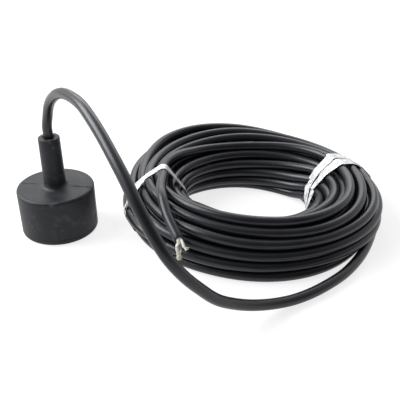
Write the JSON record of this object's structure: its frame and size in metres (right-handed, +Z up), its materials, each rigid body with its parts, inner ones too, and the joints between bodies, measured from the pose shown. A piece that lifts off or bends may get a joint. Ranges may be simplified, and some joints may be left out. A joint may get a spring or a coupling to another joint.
{
  "type": "sonar transducer",
  "caption": "Sonar transducer: a black rubber drum with a slim neck, standing on its sound face, with its cable wound into a thick tied coil that ends in stripped cores.",
  "frame": {"origin": "centre of the sound face, on the surface that the drum stands on", "axes": "+Z up along the axis of the drum and neck, +X towards the coil"},
  "size_m": [0.389, 0.3429, 0.176],
  "materials": {
    "housing_rubber": "satin moulded rubber, lightly scuffed",
    "face_rubber": "satin moulded rubber",
    "piezo_ceramic": "fired ceramic with silvered faces",
    "cork": "cork, matte",
    "resin": "cast resin",
    "white_insulation": "smooth insulation",
    "black_insulation": "smooth insulation",
    "solder": "dull solder",
    "cable_jacket": "satin rubber jacket",
    "tinned_strands": "tinned copper wire",
    "tie_film": "thin pale film, creased"
  },
  "bodies": {
    "root": {"housing": "housing_rubber", "acoustic_window": "face_rubber", "piezo_disc": "piezo_ceramic", "cork_sleeve": "cork", "cork_backing": "cork", "potting": "resin", "front_lead": "white_insulation", "rear_lead": "black_insulation", "solder_joints": "solder", "cable_lead": "cable_jacket", "cable_coil": "cable_jacket", "cable_tail": "cable_jacket", "core_white": "white_insulation", "core_black": "black_insulation", "strands_white": "tinned_strands", "strands_black": "tinned_strands", "screen_wire": "tinned_strands", "tie_left": "tie_film", "tie_right": "tie_film"}
  },
  "joints": []
}
